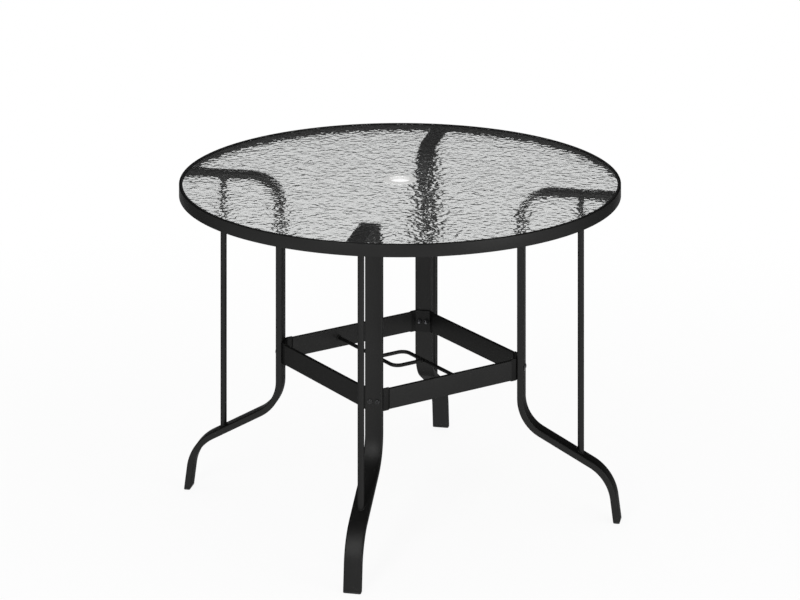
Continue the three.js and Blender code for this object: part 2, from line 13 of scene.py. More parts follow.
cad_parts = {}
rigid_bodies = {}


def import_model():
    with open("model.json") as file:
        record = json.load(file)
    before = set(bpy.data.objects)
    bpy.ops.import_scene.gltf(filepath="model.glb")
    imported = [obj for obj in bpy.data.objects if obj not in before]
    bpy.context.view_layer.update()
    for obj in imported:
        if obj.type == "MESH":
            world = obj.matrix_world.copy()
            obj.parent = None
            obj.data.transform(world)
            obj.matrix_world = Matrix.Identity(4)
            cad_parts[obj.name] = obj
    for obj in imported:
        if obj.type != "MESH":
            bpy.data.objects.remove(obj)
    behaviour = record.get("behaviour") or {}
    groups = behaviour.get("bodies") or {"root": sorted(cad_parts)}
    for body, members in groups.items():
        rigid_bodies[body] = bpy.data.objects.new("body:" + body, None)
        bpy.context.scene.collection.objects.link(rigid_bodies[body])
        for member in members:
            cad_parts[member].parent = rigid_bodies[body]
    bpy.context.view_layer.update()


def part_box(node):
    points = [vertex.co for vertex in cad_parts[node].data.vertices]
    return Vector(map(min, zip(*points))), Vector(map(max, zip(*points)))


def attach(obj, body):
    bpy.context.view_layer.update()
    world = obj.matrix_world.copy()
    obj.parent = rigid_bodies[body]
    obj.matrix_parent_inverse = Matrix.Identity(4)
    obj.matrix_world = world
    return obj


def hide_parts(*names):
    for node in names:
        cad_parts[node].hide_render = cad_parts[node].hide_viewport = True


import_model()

bl_info = {
    "name": "Round patio table",
    "version": (1, 0, 0),
    "blender": (4, 5, 0),
    "location": "View3D > Sidebar > Patio table",
    "description": "Builds the visible pieces and the finishes of a round glass patio table",
    "category": "Add Mesh",
}

# Levels and radii taken from the packed model
FLAT_SHARE = cos(pi / 80)  # the packed rim, channel and pane have 80 flats
RIM_LOW, RIM_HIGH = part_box("rim")
RIM_RADIUS = RIM_HIGH.x / FLAT_SHARE
GASKET_LOW, GASKET_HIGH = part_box("glass_gasket")
GASKET_RADIUS = GASKET_HIGH.x / FLAT_SHARE
PANE_LOW, PANE_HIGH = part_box("glass_top")
PANE_RADIUS = PANE_HIGH.x / FLAT_SHARE
RING_LOW, RING_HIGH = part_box("umbrella_ring")
LEG_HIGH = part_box("leg_front_right")[1].z
BRACKET_LOW, BRACKET_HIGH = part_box("corner_bracket_front_right")
TAB_LOW, TAB_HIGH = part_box("rim_tab_front_right")
STRETCHER_LOW, STRETCHER_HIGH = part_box("stretcher_front")
STRETCHER_DEPTH = STRETCHER_HIGH.y - STRETCHER_LOW.y
STRETCHER_HEIGHT = STRETCHER_HIGH.z - STRETCHER_LOW.z
STRETCHER_PLANE = -(STRETCHER_LOW.y + STRETCHER_HIGH.y) / 2
JOINT_HEIGHT = (STRETCHER_LOW.z + STRETCHER_HIGH.z) / 2

# Sizes that several pieces share
SEAT_GAP = 0.0003
CAP_HIGH = 0.0047
BRACKET_PLATE = 0.0040
GUIDE_OPENING = 0.066
GUIDE_START = STRETCHER_PLANE - STRETCHER_DEPTH / 2 - SEAT_GAP
TAB_LENGTH = 0.032
RING_BORE = 0.0235

CORNERS = {
    "front_right": -pi / 4,
    "back_right": pi / 4,
    "back_left": 3 * pi / 4,
    "front_left": -3 * pi / 4,
}
SIDES = {"front": 0.0, "right": pi / 2, "back": pi, "left": -pi / 2}
HALVES = {"back": 0.0, "front": pi}

# The camera found from the table's own sizes in the photograph
PHOTO_WIDTH = 800
FOCAL_PIXELS = 2927.6
HORIZON_PIXELS = 925.1  # level line of sight above the picture's middle
CAMERA_PLACE = Vector((-3.525, -5.350, 2.470))
CAMERA_ANGLE = radians(-123.38)
SENSOR_WIDTH = 36.0

# Light: (name, place, (width, height), power, seen in gloss), all aimed at one point
LAMP_AIM = Vector((0, 0, 0.4))
LAMPS = [
    ("key_softbox", (0.95, -3.9, 1.3), (2.0, 2.0), 46.0, True),
    ("strip_softbox", (-2.75, -1.85, 2.2), (0.8, 2.4), 48.0, True),
    ("back_softbox", (2.2, 3.4, 1.6), (2.2, 2.2), 30.0, False),
    ("top_softbox", (0.6, -0.6, 3.6), (1.2, 1.2), 8.0, False),
]


def length(name, description, default):
    return FloatProperty(name=name, description=description, default=default, unit="LENGTH")


def angle(name, description, degrees):
    return FloatProperty(name=name, description=description, default=radians(degrees), unit="ROTATION")


def colour_of(name, description, default):
    return FloatVectorProperty(name=name, description=description, subtype="COLOR", default=default)


class TableSizes(bpy.types.PropertyGroup):
    """Sizes of the table that the packed model's boxes don't give"""

    rim_wall: length("Rim wall", "Thickness of the rim's steel strip", 0.003)
    rim_round: length("Rim edge", "Rounding of the rim's upper edges", 0.0012)
    glass_ripple: length("Ripple size", "Width of one ripple under the glass", 0.0088)
    glass_relief: length("Ripple height", "Depth of the ripples", 0.0011)
    glass_seed: IntProperty(name="Ripple seed", description="Picks the ripple pattern", default=7)
    leg_width: length("Leg width", "Width of the flat leg tube", 0.0374)
    leg_depth: length("Leg depth", "Depth of the flat leg tube", 0.0141)
    leg_corner: length("Leg corner", "Outer corner radius of the leg tube", 0.0026)
    leg_wall: length("Leg wall", "Wall thickness of the leg tube", 0.0015)
    leg_radius: length("Upright radius", "From the table's axis to a leg's upright", 0.269)
    foot_radius: length("Foot radius", "From the table's axis to a foot", 0.4785)
    arm_bend: length("Arm bend", "Bend radius below the glass", 0.065)
    knee_bend: length("Knee bend", "Bend radius at the knee", 0.082)
    ankle_bend: length("Ankle bend", "Bend radius above the foot", 0.094)
    slope: angle("Slope", "Leg's slope from straight down", 62)
    foot_angle: angle("Foot angle", "Foot's lean from straight down", 7.5)
    foot_straight: length("Foot length", "Straight tube below the ankle", 0.052)
    strut_radius: length("Strut place", "From the table's axis to a strut", 0.399)
    strut_diameter: length("Strut diameter", "Outside of the round strut", 0.0138)
    stretcher_corner: length("Stretcher corner", "Outer corner radius of a stretcher", 0.0016)
    rod_diameter: length("Rod diameter", "Diameter of the pole guide's wire", 0.008)
    rod_bend: length("Rod bend", "Bend radius of the pole guide's corners", 0.018)
    weld_width: length("Weld width", "Width of the weld beads", 0.0034)


class TableFinishes(bpy.types.PropertyGroup):
    """Colours of the table's materials, as linear values"""

    steel: colour_of("Steel", "Black powder coat", (0.0282, 0.0282, 0.0279))
    fastener: colour_of("Fasteners", "Blackened bolts and nuts", (0.020, 0.020, 0.021))
    glass: colour_of("Glass", "What the clear glass lets through", (0.955, 0.965, 0.960))
    rubber: colour_of("Rubber", "Channel round the glass", (0.010, 0.010, 0.010))
    ring: colour_of("Ring", "White plastic of the umbrella ring", (0.92, 0.92, 0.91))
    foot: colour_of("Foot caps", "Black plastic of the foot caps", (0.014, 0.014, 0.014))


# Node trees


def maths(operation, reflected=False):
    """Method that adds a Math node on two values, the other one first if reflected"""

    def method(self, other):
        first, second = (other, self) if reflected else (self, other)
        return self.bench.node("ShaderNodeMath", {"operation": operation}, {0: first, 1: second})

    return method


class Term:
    """Output of a node, for maths written as an expression"""

    def __init__(self, bench, socket):
        self.bench = bench
        self.socket = socket

    __add__, __radd__ = maths("ADD"), maths("ADD", True)
    __sub__, __rsub__ = maths("SUBTRACT"), maths("SUBTRACT", True)
    __mul__, __rmul__ = maths("MULTIPLY"), maths("MULTIPLY", True)
    __truediv__, __rtruediv__ = maths("DIVIDE"), maths("DIVIDE", True)


class Bench:
    """Builds one node tree, of a material, the world or a geometry modifier"""

    def __init__(self, tree):
        self.tree = tree

    def node(self, kind, settings=None, inputs=None, output=0):
        made = self.tree.nodes.new(kind)
        for key, value in (settings or {}).items():
            setattr(made, key, value)
        for key, value in (inputs or {}).items():
            socket = made.inputs[key]
            if isinstance(value, Term):
                self.tree.links.new(value.socket, socket)
            elif isinstance(value, (tuple, list, Vector)) and socket.type == "RGBA":
                socket.default_value = (*value[:3], 1.0)
            else:
                socket.default_value = value
        return Term(self, made.outputs[output]) if made.outputs else made

    def place(self):
        """Place in the table's frame"""
        return self.node("ShaderNodeTexCoord", output="Object")

    def height(self, vector):
        return self.node("ShaderNodeSeparateXYZ", None, {0: vector}, output="Z")

    def noise(self, place, size, detail=2.0, rough=0.5):
        """Smooth noise from 0 to 1 whose cells are about a size across"""
        inputs = {"Vector": place, "Scale": 1 / size, "Detail": detail, "Roughness": rough}
        return self.node("ShaderNodeTexNoise", {"noise_dimensions": "3D"}, inputs)

    def span(self, value, low, high, first=0.0, last=1.0):
        """Value mapped from one range to another, held at the ends"""
        inputs = {0: value, 1: low, 2: high, 3: first, 4: last}
        return self.node("ShaderNodeMapRange", {"clamp": True}, inputs)

    def mix(self, factor, first, second):
        """Blend of two colours"""
        inputs = {0: factor, 6: first, 7: second}
        return self.node("ShaderNodeMix", {"data_type": "RGBA"}, inputs, output=2)

    def bump(self, height, distance, strength=1.0, under=None):
        inputs = {"Height": height, "Distance": distance, "Strength": strength}
        if under is not None:
            inputs["Normal"] = under
        return self.node("ShaderNodeBump", None, inputs)

    def rays(self):
        """Terms that are 1 on camera rays, on rays through glass, and on all rays that see the studio"""
        camera = self.node("ShaderNodeLightPath", output="Is Camera Ray")
        kinds = camera.socket.node.outputs
        through = Term(self, kinds["Is Transmission Ray"])
        return camera, through, self.span(camera + Term(self, kinds["Is Glossy Ray"]) + through, 0.0, 1.0)


def shade(colour, share):
    """Colour made lighter or darker by a share"""
    return tuple(min(1.0, part * share) for part in colour[:3])


def grey(level):
    return (level, level, level)


def clear_bench(owner):
    """Bench with the emptied node tree of a material or the world"""
    owner.use_nodes = True
    owner.node_tree.nodes.clear()
    return Bench(owner.node_tree)


def finish(build):
    """Makes a maker of materials of a function that returns the sockets of a Principled shader"""

    def make(name, colour, **more):
        material = bpy.data.materials.new(name)
        material.diffuse_color = (*colour[:3], 1.0)
        bench = clear_bench(material)
        shader = bench.node("ShaderNodeBsdfPrincipled", None, build(bench, bench.place(), colour, **more))
        bench.node("ShaderNodeOutputMaterial", None, {"Surface": shader})
        return material

    return make


@finish
def powder_coat(bench, place, colour):
    """Satin black powder coat: fine orange peel, a slow change of tone, scuffs near the floor"""
    tone = bench.noise(place, 0.11, detail=3.0)
    speck = bench.noise(place, 0.0011, detail=1.0)
    peel = bench.noise(place, 0.0030, rough=0.45)
    scratch = bench.span(bench.noise(place, 0.0045, detail=5.0, rough=0.7), 0.60, 0.72)
    scuff = scratch * bench.span(bench.height(place), 0.004, 0.030, 0.8, 0.0)
    even = bench.mix(tone, shade(colour, 0.86), shade(colour, 1.14))
    flecked = bench.mix(bench.span(speck, 0.60, 0.75, 0.0, 0.5), even, shade(colour, 1.7))
    return {
        "Base Color": bench.mix(scuff, flecked, shade(colour, 3.2)),
        "Roughness": bench.span(tone + 0.35 * speck, 0.3, 1.0, 0.42, 0.52) + 0.15 * scuff,
        "Metallic": 0.9,
        "Specular IOR Level": 0.2,
        "Specular Tint": grey(0.35),
        "Normal": bench.bump(speck, 0.00004, 0.4, bench.bump(peel, 0.00012, 0.5)),
    }


@finish
def turned_steel(bench, place, colour, metallic):
    """Finish of the fasteners, rubbed brighter in places, with fine turning marks"""
    tone = bench.noise(place, 0.004, detail=4.0, rough=0.6)
    return {
        "Base Color": bench.mix(bench.span(tone, 0.58, 0.78), colour[:3], shade(colour, 2.4)),
        "Metallic": metallic,
        "Roughness": bench.span(tone, 0.3, 0.7, 0.24, 0.38),
        "Specular IOR Level": 0.4,
        "Normal": bench.bump(tone, 0.00005, 0.5),
    }


@finish
def clear_glass(bench, place, colour):
    """Clear tempered glass; the rolled pattern is in the mesh and its finer waviness is here"""
    cloud = bench.noise(place, 0.16)
    facing = bench.node("ShaderNodeNewGeometry", output="Normal")
    down = bench.span(bench.height(facing), -0.8, -0.5, 1.0, 0.0)
    fine = bench.noise(place, 0.0055, detail=1.5) * down
    return {
        "Base Color": bench.mix(cloud, colour[:3], shade(colour, 0.97)),
        "Roughness": bench.span(cloud, 0.3, 0.7, 0.0, 0.004),
        "IOR": 1.5,
        "Transmission Weight": 1.0,
        "Specular IOR Level": 0.5,
        "Normal": bench.bump(fine, 0.00055),
    }


@finish
def channel_rubber(bench, place, colour):
    """Matt black rubber with a fine moulded grain"""
    bloom = bench.noise(place, 0.05, detail=3.0)
    return {
        "Base Color": bench.mix(bloom, shade(colour, 0.8), shade(colour, 1.5)),
        "Roughness": bench.span(bloom, 0.3, 0.7, 0.62, 0.78),
        "Specular IOR Level": 0.25,
        "Normal": bench.bump(bench.noise(place, 0.0009), 0.00005, 0.5),
    }


@finish
def moulded_plastic(bench, place, colour, rough, specular, scuffed, worn, clear):
    """Moulded plastic with a light surface texture, scuffed to a worn shade near the floor"""
    tone = bench.noise(place, 0.012, detail=3.0)
    low = bench.span(bench.height(place), 0.0, 0.003, scuffed, 0.0)
    scuff = low * bench.span(bench.noise(place, 0.002, detail=4.0), 0.45, 0.65)
    even = bench.mix(tone, shade(colour, 0.965), shade(colour, 1.01))
    return {
        "Base Color": bench.mix(scuff, even, shade(colour, worn)),
        "Roughness": bench.span(tone, 0.3, 0.7, rough - 0.04, rough + 0.05),
        "Specular IOR Level": specular,
        "Transmission Weight": clear,
        "Normal": bench.bump(bench.noise(place, 0.0008), 0.00003, 0.4),
    }


# Meshes


def filleted(points, steps):
    """Closed outline of (x, y, radius) corners with each corner rounded by its radius"""
    outline = []
    for i, (x, y, radius) in enumerate(points):
        corner = Vector((x, y))
        if radius <= 0:
            outline.append(corner)
            continue
        before = (Vector(points[i - 1][:2]) - corner).normalized()
        after = (Vector(points[(i + 1) % len(points)][:2]) - corner).normalized()
        half = before.angle(after) / 2
        centre = corner + (before + after).normalized() * radius / sin(half)
        start = corner + before * radius / tan(half) - centre
        turn = start.angle_signed(corner + after * radius / tan(half) - centre)
        for step in range(steps + 1):
            c, s = cos(-turn * step / steps), sin(-turn * step / steps)
            outline.append(centre + Vector((start.x * c - start.y * s, start.x * s + start.y * c)))
    return outline


def rounded_rectangle(depth, width, corner, steps=5):
    x, y = depth / 2, width / 2
    return filleted([(x, y, corner), (-x, y, corner), (-x, -y, corner), (x, -y, corner)], steps)


def circle(diameter, sides):
    turns = [2 * pi * i / sides for i in range(sides)]
    return [Vector((cos(turn), sin(turn))) * diameter / 2 for turn in turns]


def hexagon(flats, sides):
    """Hexagon with as many points along it as a circle that it meets"""
    points = []
    for i in range(sides):
        turn = 2 * pi * i / sides
        off = (turn + pi / 6) % (pi / 3) - pi / 6
        reach = flats / 2 / cos(pi / 6 - abs(off))
        points.append(Vector((cos(turn), sin(turn))) * reach)
    return points


def wall_between(work, first, second, outward=True):
    """Faces between two rings of vertices"""
    for i in range(len(first)):
        j = (i + 1) % len(first)
        face = (first[i], first[j], second[j], second[i])
        work.faces.new(face if outward else face[::-1])


def to_mesh(work, name, sharp=32.0):
    """Mesh of a closed shape, smooth but for edges sharper than an angle in degrees"""
    bmesh.ops.remove_doubles(work, verts=work.verts, dist=1e-6)
    bmesh.ops.dissolve_degenerate(work, edges=work.edges, dist=1e-7)
    bmesh.ops.recalc_face_normals(work, faces=work.faces)
    mesh = bpy.data.meshes.new(name)
    work.to_mesh(mesh)
    work.free()
    mesh.shade_smooth()
    mesh.set_sharp_from_angle(angle=radians(sharp))
    return mesh


def skin_mesh(name, outer, inner=None):
    """Closed shape through a row of rings; a row of inner rings leaves a bore open at both ends"""
    work = bmesh.new()
    rows = [[work.verts.new(point) for point in ring] for ring in outer]
    for first, second in zip(rows, rows[1:]):
        wall_between(work, first, second)
    if inner is None:
        work.faces.new(rows[0][::-1])
        work.faces.new(rows[-1])
        return to_mesh(work, name)
    bore = [[work.verts.new(point) for point in ring] for ring in inner]
    for first, second in zip(bore, bore[1:]):
        wall_between(work, first, second, outward=False)
    wall_between(work, bore[0], rows[0])
    wall_between(work, rows[-1], bore[-1])
    return to_mesh(work, name)


def stacked(rows, x=0.0):
    """Rings of (height, section) rows one above another"""
    return [[Vector((x + p.x, p.y, z)) for p in section] for z, section in rows]


def turned_mesh(name, profile, sides, sharp=32.0):
    """Closed profile of (radius, height) points turned about the table's axis"""
    work = bmesh.new()
    rings = stacked([(height, circle(2 * radius, sides)) for radius, height in profile])
    rows = [[work.verts.new(point) for point in ring] for ring in rings]
    for first, second in zip(rows, rows[1:] + rows[:1]):
        wall_between(work, first, second)
    return to_mesh(work, name, sharp)


def plan_ring(x, y, turn, section):
    """Ring at the stretchers' height, its depth turned by an angle in plan"""
    return [Vector((x + p.x * cos(turn), y + p.x * sin(turn), JOINT_HEIGHT + p.y)) for p in section]


def shown(name, data):
    """New object in the scene"""
    made = bpy.data.objects.new(name, data)
    bpy.context.scene.collection.objects.link(made)
    return made


def add_piece(name, mesh, body, material, nodes):
    """Shows a mesh as a piece that rides on a body and stands for its packed nodes"""
    if material is not None:
        mesh.materials.clear()
        mesh.materials.append(material)
    made = shown(name, mesh)
    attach(made, body)
    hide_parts(*nodes)
    return made


def add_copies(places, stem, node, material, rows, bores=None):
    """A piece of the frame at each place round the table, all skinned over the same rings"""
    for place, turn in places.items():
        mesh = skin_mesh(f"{stem}_{place}", rows, bores)
        mesh.transform(Matrix.Rotation(turn, 4, "Z"))
        add_piece(f"{stem}_{place}", mesh, "frame", material, [f"{node}_{place}"])


# Geometry node trees


def geometry_tree(name, sockets):
    """Empty geometry tree with named inputs, and its group input's sockets as terms"""
    tree = bpy.data.node_groups.new(name, "GeometryNodeTree")
    for label, kind in sockets.items():
        tree.interface.new_socket(label, in_out="INPUT", socket_type="NodeSocket" + kind)
    tree.interface.new_socket("Geometry", in_out="OUTPUT", socket_type="NodeSocketGeometry")
    bench = Bench(tree)
    entry = tree.nodes.new("NodeGroupInput")
    return bench, {label: Term(bench, entry.outputs[label]) for label in sockets}


def close_tree(bench, geometry, material):
    """Realizes instances, sets the material and joins the tree's output"""
    real = bench.node("GeometryNodeRealizeInstances", None, {"Geometry": geometry})
    coated = bench.node("GeometryNodeSetMaterial", None, {"Geometry": real, "Material": material})
    bench.node("NodeGroupOutput", None, {"Geometry": coated})
    return bench.tree


def fastener_tree():
    """Copies of one fastener, each turned to face along its point's facing attribute"""
    bench, given = geometry_tree(
        "placed_fasteners",
        {
            "Places": "Geometry", "Fastener": "Object", "Greatest Spin": "Float", "Seed": "Int",
            "Finish": "Material",
        },
    )
    shape = bench.node("GeometryNodeObjectInfo", None, {"Object": given["Fastener"]}, output="Geometry")
    facing = bench.node("GeometryNodeInputNamedAttribute", {"data_type": "FLOAT_VECTOR"}, {"Name": "facing"})
    aimed = bench.node("FunctionNodeAlignRotationToVector", {"axis": "Z"}, {"Vector": facing})
    limits = {2: 0.0, 3: given["Greatest Spin"], "Seed": given["Seed"]}
    spin = bench.node("FunctionNodeRandomValue", {"data_type": "FLOAT"}, limits, output=1)
    about = bench.node("FunctionNodeAxisAngleToRotation", None, {"Axis": (0.0, 0.0, 1.0), "Angle": spin})
    inputs = {"Rotation": aimed, "Rotate By": about}
    turned = bench.node("FunctionNodeRotateRotation", {"rotation_space": "LOCAL"}, inputs)
    inputs = {"Points": given["Places"], "Instance": shape, "Rotation": turned}
    return close_tree(bench, bench.node("GeometryNodeInstanceOnPoints", None, inputs), given["Finish"])


def weld_tree():
    """Rippled weld bead along each path of edges"""
    bench, given = geometry_tree(
        "weld_beads",
        {
            "Paths": "Geometry", "Width": "Float", "Ripple Pitch": "Float", "Ripple Depth": "Float",
            "Seed": "Float", "Finish": "Material",
        },
    )
    pitch = given["Ripple Pitch"]
    curve = bench.node("GeometryNodeMeshToCurve", None, {"Mesh": given["Paths"]})
    inputs = {"Curve": curve, "Length": pitch / 4.0}
    fine = bench.node("GeometryNodeResampleCurve", {"mode": "LENGTH"}, inputs)
    along = bench.node("GeometryNodeSplineParameter", output="Length")
    wave = bench.node("ShaderNodeMath", {"operation": "SINE"}, {0: along / pitch * (2 * pi)})
    spot = bench.node("GeometryNodeInputPosition")
    inputs = {"Vector": spot, "W": given["Seed"], "Scale": 240.0, "Detail": 1.0}
    noise = bench.node("ShaderNodeTexNoise", {"noise_dimensions": "4D"}, inputs)
    swell = 1.0 + given["Ripple Depth"] * (wave + 2.4 * (noise - 0.5))
    sized = bench.node("GeometryNodeSetCurveRadius", None, {"Curve": fine, "Radius": swell})
    inputs = {"Resolution": 10, "Radius": given["Width"] / 2.0}
    section = bench.node("GeometryNodeCurvePrimitiveCircle", {"mode": "RADIUS"}, inputs)
    inputs = {"Curve": sized, "Profile Curve": section, "Fill Caps": True, "Scale": swell}
    bead = bench.node("GeometryNodeCurveToMesh", None, inputs)
    soft = bench.node("GeometryNodeSetShadeSmooth", None, {"Geometry": bead})
    return close_tree(bench, soft, given["Finish"])


def ripple_tree():
    """Rolled ripples pressed into the underside, where the relief attribute allows"""
    bench, given = geometry_tree(
        "rolled_ripples",
        {
            "Pane": "Geometry", "Ripple Size": "Float", "Ripple Height": "Float", "Press": "Float",
            "Room": "Float", "Seed": "Float", "Finish": "Material",
        },
    )
    spot = bench.node("GeometryNodeInputPosition")

    def noise(scale, seed, **more):
        inputs = {"Vector": spot, "W": seed, "Scale": scale / given["Ripple Size"], **more}
        return bench.node("ShaderNodeTexNoise", {"noise_dimensions": "4D"}, inputs)

    ripple = noise(1.0, given["Seed"], Detail=1.6, Roughness=0.45, Distortion=0.6)
    swell = noise(0.3, given["Seed"] + 3.0, Detail=1.0)
    uneven = bench.span(swell, 0.3, 0.7, 0.65, 1.35)
    allowed = bench.node("GeometryNodeInputNamedAttribute", {"data_type": "FLOAT"}, {"Name": "relief"})
    wave = given["Ripple Height"] * (2.0 * (ripple - 0.5) * uneven + 0.5 * (swell - 0.5)) - given["Press"]
    held = bench.node("ShaderNodeMath", {"operation": "MAXIMUM"}, {0: wave, 1: -1.0 * given["Room"]})
    offset = bench.node("ShaderNodeCombineXYZ", None, {"Z": held * allowed})
    rippled = bench.node("GeometryNodeSetPosition", None, {"Geometry": given["Pane"], "Offset": offset})
    return close_tree(bench, rippled, given["Finish"])


def grown(name, carrier_mesh, tree, values):
    """Plain mesh that a geometry tree makes of a carrier"""
    carrier = shown(name, carrier_mesh)
    modifier = carrier.modifiers.new(tree.name, "NODES")
    modifier.node_group = tree
    for item in tree.interface.items_tree:
        if item.in_out == "INPUT" and item.name in values:
            modifier[item.identifier] = values[item.name]
    bpy.context.view_layer.update()
    evaluated = carrier.evaluated_get(bpy.context.evaluated_depsgraph_get())
    mesh = bpy.data.meshes.new_from_object(evaluated)
    mesh.name = name
    bpy.data.objects.remove(carrier)
    return mesh


# Places that several pieces share


def inner_flat(sizes):
    """From the table's axis to what butts against a flat inside the packed rim"""
    return (RIM_RADIUS - sizes.rim_wall) * FLAT_SHARE - SEAT_GAP


def strut_top(sizes):
    return LEG_HIGH - sizes.leg_depth - SEAT_GAP


def guide_half(sizes):
    """From the table's axis to the middle lines of the guide's wires"""
    return (GUIDE_OPENING + sizes.rod_diameter) / 2


# Rim


def build_rim(sizes, looks):
    bore, edge = RIM_RADIUS - sizes.rim_wall, 0.0005
    corners = [
        (bore, RIM_LOW.z, edge),
        (RIM_RADIUS, RIM_LOW.z, edge),
        (RIM_RADIUS, RIM_HIGH.z, sizes.rim_round),
        (bore, RIM_HIGH.z, sizes.rim_round),
    ]
    mesh = turned_mesh("rim_hoop", filleted(corners, 5), 384)
    add_piece("rim_hoop", mesh, "frame", looks["steel"], ["rim"])


# Legs


def leg_stations(sizes):
    """Centre line of a leg in its own plane, as (x, z, angle, squeeze) from the arm to the foot.
    The angle is the way it runs, from straight down; the squeeze says how far into a bend it is."""
    x, z, way = inner_flat(sizes), LEG_HIGH - sizes.leg_depth / 2, -pi / 2
    stations = [(x, z, way, 0.0)]

    def straight(run):
        nonlocal x, z
        x += run * sin(way)
        z -= run * cos(way)
        stations.append((x, z, way, 0.0))

    def bend(radius, to):
        nonlocal x, z, way
        steps = round(abs(to - way) / radians(2.5))
        turn = (to - way) / steps
        sense = copysign(1, turn)
        for i in range(steps):
            x += sense * radius * (cos(way) - cos(way + turn))
            z -= sense * radius * (sin(way + turn) - sin(way))
            way += turn
            stations.append((x, z, way, sense * sin(pi * (i + 1) / steps) ** 2))

    knee_reach = sizes.knee_bend * (1 - cos(sizes.slope))
    knee_drop = sizes.knee_bend * sin(sizes.slope)
    ankle_reach = sizes.ankle_bend * (cos(sizes.foot_angle) - cos(sizes.slope))
    ankle_drop = sizes.ankle_bend * (sin(sizes.slope) - sin(sizes.foot_angle))
    foot_reach = sizes.foot_straight * sin(sizes.foot_angle)
    foot_drop = sizes.foot_straight * cos(sizes.foot_angle)
    slope_reach = sizes.foot_radius - sizes.leg_radius - knee_reach - ankle_reach - foot_reach
    slope = slope_reach / sin(sizes.slope)
    knee_top = knee_drop + slope * cos(sizes.slope) + ankle_drop + foot_drop

    straight(x - sizes.leg_radius - sizes.arm_bend)
    bend(sizes.arm_bend, 0.0)
    straight(z - knee_top)
    bend(sizes.knee_bend, sizes.slope)
    straight(slope)
    bend(sizes.ankle_bend, sizes.foot_angle)
    return stations


def station_ring(station, section, bulge):
    """Section at a station, square to the tube, pinched a little where the tube is bent"""
    x, z, way, squeeze = station
    half_depth = max(p.x for p in section)
    half_width = max(p.y for p in section)
    ring = []
    for p in section:
        across, side = p.x / half_depth, p.y / half_width
        outer = max(0.0, -across * copysign(1, squeeze)) * (1 - side * side)
        depth = p.x + bulge * abs(squeeze) * outer * copysign(1, squeeze)
        width = p.y * (1 + bulge * 0.7 / half_width * abs(squeeze) * (1 - across * across))
        ring.append(Vector((x + depth * cos(way), width, z + depth * sin(way))))
    return ring


def level_ring(sizes, height, section):
    """Section cut level with the floor, where the foot passes that height"""
    x = sizes.foot_radius - height * tan(sizes.foot_angle)
    return [Vector((x + p.x / cos(sizes.foot_angle), p.y, height)) for p in section]


def build_legs(sizes, looks):
    depth, width, corner, wall = sizes.leg_depth, sizes.leg_width, sizes.leg_corner, sizes.leg_wall
    edge, bulge, foot_cut = 0.0003, 0.0005, 0.0050
    outer = rounded_rectangle(depth, width, corner)
    bore = rounded_rectangle(depth - 2 * wall, width - 2 * wall, corner - wall)
    soft_end = rounded_rectangle(depth - 2 * edge, width - 2 * edge, corner - edge)
    stations = leg_stations(sizes)
    x, z, way, _ = stations[0]
    stations.insert(1, (x - edge, z, way, 0.0))

    def rings(section, end):
        rows = [station_ring(stations[0], end, bulge)]
        rows += [station_ring(station, section, bulge) for station in stations[1:]]
        return rows + [level_ring(sizes, foot_cut + edge, section), level_ring(sizes, foot_cut, end)]

    add_copies(CORNERS, "leg_tube", "leg", looks["steel"], rings(outer, soft_end), rings(bore, bore))

    play, plug_top, cap_round = 0.0008, 0.0250, 0.0018
    plug = rounded_rectangle(depth - 2 * wall - play, width - 2 * wall - play, corner - wall)
    levels = [(plug_top, plug), (CAP_HIGH, plug), (CAP_HIGH, soft_end), (CAP_HIGH - edge, outer)]
    for step in range(6):
        turn = pi / 2 * step / 5
        inset = cap_round * (1 - cos(turn))
        section = rounded_rectangle(depth - 2 * inset, width - 2 * inset, corner)
        levels.append((cap_round * (1 - sin(turn)), section))
    rows = [level_ring(sizes, height, section) for height, section in levels]
    add_copies(CORNERS, "foot_plug", "foot_cap", looks["foot"], rows)


# Struts


def slope_height(sizes, x, lift):
    """Height of the slope's upper face at a radius, raised square to it by a lift"""
    start = next(s for s in leg_stations(sizes) if abs(s[2] - sizes.slope) < 1e-9)
    raised = sizes.leg_depth / 2 + lift
    return start[1] + (raised - (x - start[0]) * cos(sizes.slope)) / sin(sizes.slope)


def build_struts(sizes, looks):
    def rings(diameter):
        points = [(sizes.strut_radius + p.x, p.y) for p in circle(diameter, 40)]
        foot = [Vector((x, y, slope_height(sizes, x, SEAT_GAP))) for x, y in points]
        return [foot, [Vector((x, y, strut_top(sizes))) for x, y in points]]

    outside, wall = sizes.strut_diameter, 0.0012
    add_copies(CORNERS, "strut_tube", "strut", looks["steel"], rings(outside), rings(outside - 2 * wall))


# Stretchers and corner brackets


def build_stretchers(sizes, looks):
    depth, height, end = STRETCHER_DEPTH, STRETCHER_HEIGHT, STRETCHER_HIGH.x
    corner, bore_corner, wall, edge = sizes.stretcher_corner, 0.0004, 0.0015, 0.00025
    outer = rounded_rectangle(depth, height, corner)
    soft_end = rounded_rectangle(depth - 2 * edge, height - 2 * edge, corner - edge)
    bore = rounded_rectangle(depth - 2 * wall, height - 2 * wall, bore_corner)

    def ring(x, section):
        return [Vector((x, p.x - STRETCHER_PLANE, JOINT_HEIGHT + p.y)) for p in section]

    marks = [(-end, soft_end), (-end + edge, outer), (end - edge, outer), (end, soft_end)]
    rows = [ring(x, section) for x, section in marks]
    bores = [ring(x, bore) for x, _ in marks]
    add_copies(SIDES, "stretcher_tube", "stretcher", looks["steel"], rows, bores)


